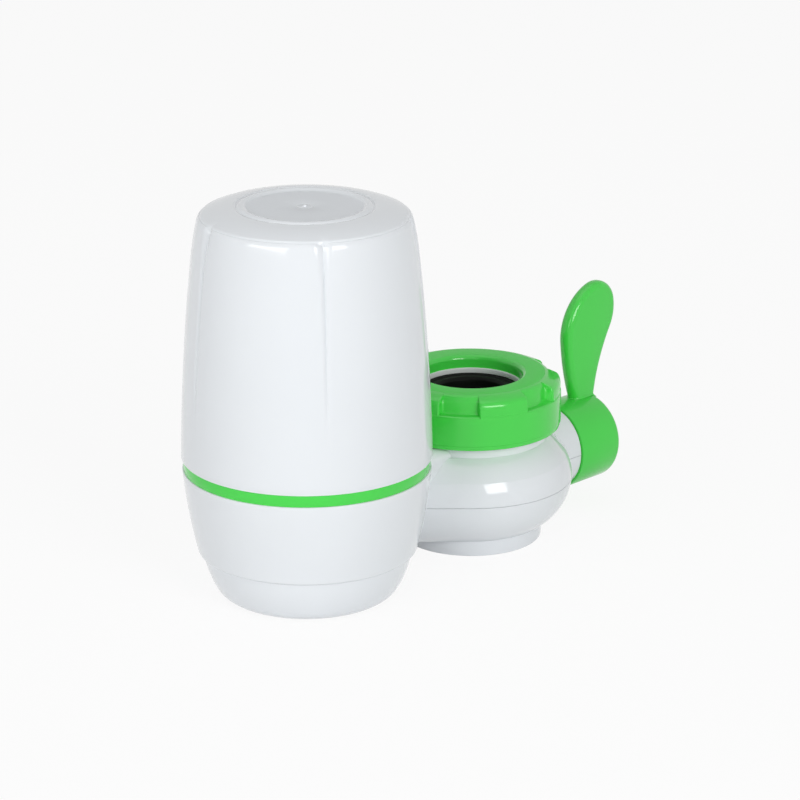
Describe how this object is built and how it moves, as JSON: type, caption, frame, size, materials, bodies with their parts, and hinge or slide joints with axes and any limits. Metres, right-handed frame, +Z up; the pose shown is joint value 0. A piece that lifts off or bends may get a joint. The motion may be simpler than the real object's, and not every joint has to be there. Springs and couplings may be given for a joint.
{
  "type": "faucet mount water filter",
  "caption": "Faucet mount water filter: upright cartridge tower with a screw-on cover beside a diverter valve with a lugged union nut on top and a lever at its side.",
  "frame": {"origin": "on the tap's axis, where the tap's end is seated: the lower end of the grip ring's bore", "axes": "+Z up along the tap's axis, +X from the filter tower towards the lever, -Y the front"},
  "size_m": [0.1761, 0.0762, 0.1227],
  "materials": {
    "white_plastic": "glossy",
    "green_plastic": "glossy",
    "inner_plastic": "satin",
    "black_rubber": "matte",
    "candle_ceramic": "matte",
    "carbon": "matte",
    "fibre": "matte",
    "screw_steel": "brushed"
  },
  "bodies": {
    "base": {"filter_base": "white_plastic", "bottom_cap": "white_plastic", "outlet_nozzle": "inner_plastic", "nozzle_oring": "black_rubber", "cover_seal": "black_rubber", "cartridge_base": "inner_plastic", "cartridge_seal": "black_rubber", "ceramic_candle": "candle_ceramic", "fibre_pad": "fibre", "carbon_block": "carbon", "shell_upper": "white_plastic", "shell_lower": "white_plastic", "valve_block": "white_plastic", "nipple_orings": "black_rubber", "core_gland": "inner_plastic", "inlet_strainer": "screw_steel", "outlet_collar": "white_plastic", "spray_plate": "white_plastic", "outlet_gasket": "black_rubber"},
    "lever": {"lever_handle": "green_plastic", "lever_screw": "screw_steel", "screw_cover": "green_plastic", "valve_core": "inner_plastic", "core_orings": "black_rubber"},
    "slip_ring": {"accent_ring": "green_plastic"},
    "cover": {"filter_cover": "white_plastic"},
    "adapter": {"adapter_ring": "white_plastic", "grip_washer": "black_rubber"},
    "nut": {"union_nut": "green_plastic"}
  },
  "joints": [
    {"name": "lever_turn", "type": "hinge", "parent": "base", "child": "lever", "pos_m": [0, 0, -0.0195], "axis": [1, 0, 0], "range_deg": [0, 90]},
    {"name": "cover_rise", "type": "slide", "parent": "base", "child": "slip_ring", "axis": [0, 0, 1], "range_m": [0, 0.0094]},
    {"name": "cover_turn", "type": "hinge", "parent": "slip_ring", "child": "cover", "pos_m": [-0.072, 0, 0.0056], "axis": [0, 0, 1], "range_deg": [0, 840]},
    {"name": "adapter_rise", "type": "slide", "parent": "base", "child": "adapter", "axis": [0, 0, 1], "range_m": [0, 0.0101]},
    {"name": "nut_turn", "type": "hinge", "parent": "adapter", "child": "nut", "pos_m": [0, 0, -0.0021], "axis": [0, 0, 1], "range_deg": [0, 1800]}
  ],
  "couplings": [
    {"joint": "cover_rise", "follows": "cover_turn", "m_per_rad": 0.00063662},
    {"joint": "adapter_rise", "follows": "nut_turn", "m_per_rad": 0.00031831}
  ]
}
